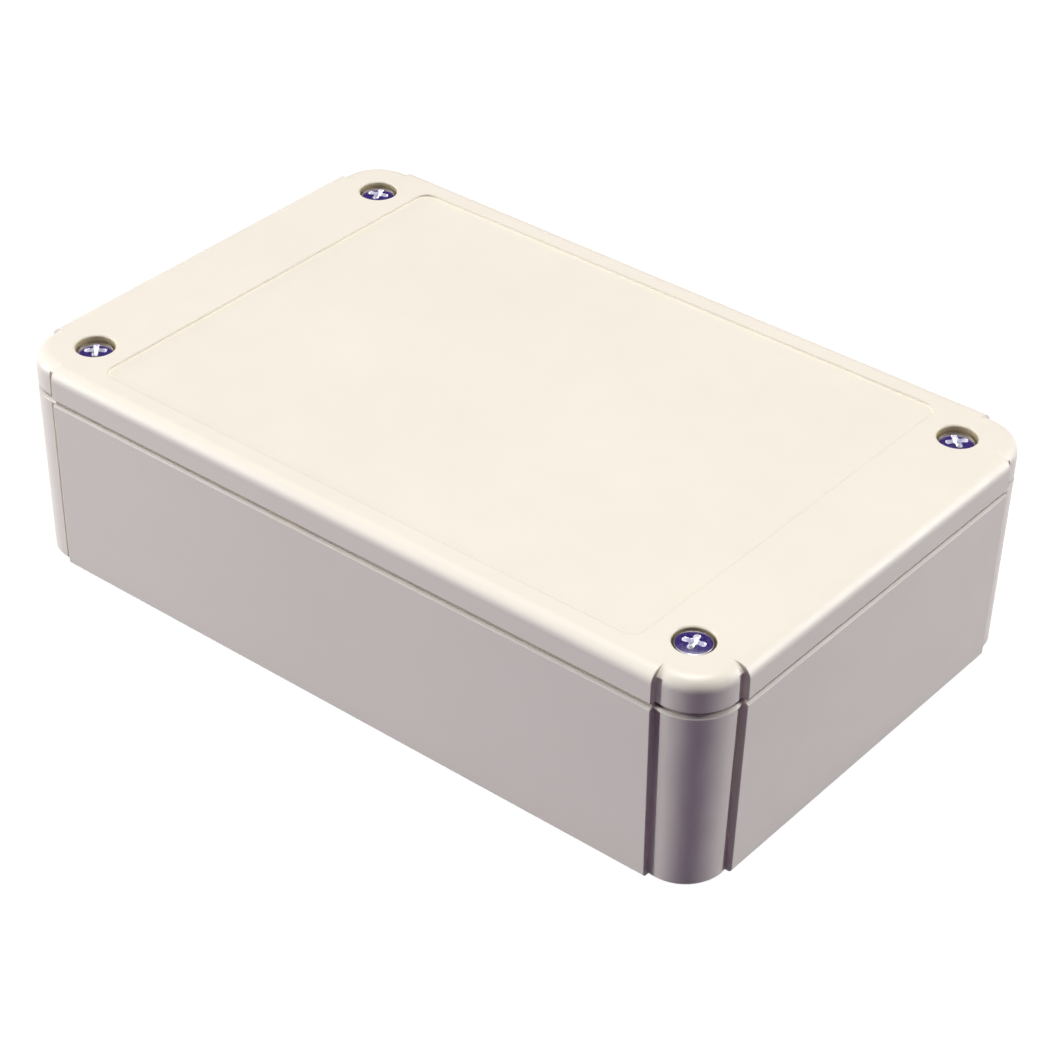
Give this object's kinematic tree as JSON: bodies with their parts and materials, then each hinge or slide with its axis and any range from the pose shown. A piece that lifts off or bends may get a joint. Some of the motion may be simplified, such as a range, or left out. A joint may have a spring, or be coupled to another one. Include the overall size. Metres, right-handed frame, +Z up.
{
  "type": "plastic project box",
  "caption": "Shallow rectangular plastic enclosure with a screwed-down lid, label recess, grooved round corner columns and a sealed room for a circuit board.",
  "frame": {"origin": "middle of the underside of the base", "axes": "+X along the long side, +Y along the short side, +Z up out of the lid"},
  "size_m": [0.17, 0.1076, 0.0465],
  "materials": {
    "housing": "satin moulded",
    "gasket": "soft matt",
    "screw": "bright zinc plated",
    "insert": "turned"
  },
  "bodies": {
    "base": {"base": "housing", "threaded_insert_1": "insert", "threaded_insert_2": "insert", "threaded_insert_3": "insert", "threaded_insert_4": "insert"},
    "lid": {"lid": "housing", "gasket": "gasket"},
    "lid_screw_1": {"lid_screw_1": "screw"},
    "lid_screw_2": {"lid_screw_2": "screw"},
    "lid_screw_3": {"lid_screw_3": "screw"},
    "lid_screw_4": {"lid_screw_4": "screw"}
  },
  "joints": [
    {"name": "lid_lift", "type": "slide", "parent": "base", "child": "lid", "axis": [0, 0, 1], "range_m": [0, 0.06]},
    {"name": "lid_screw_1_out", "type": "slide", "parent": "lid", "child": "lid_screw_1", "axis": [0, 0, 1], "range_m": [0, 0.022]},
    {"name": "lid_screw_2_out", "type": "slide", "parent": "lid", "child": "lid_screw_2", "axis": [0, 0, 1], "range_m": [0, 0.022]},
    {"name": "lid_screw_3_out", "type": "slide", "parent": "lid", "child": "lid_screw_3", "axis": [0, 0, 1], "range_m": [0, 0.022]},
    {"name": "lid_screw_4_out", "type": "slide", "parent": "lid", "child": "lid_screw_4", "axis": [0, 0, 1], "range_m": [0, 0.022]}
  ]
}
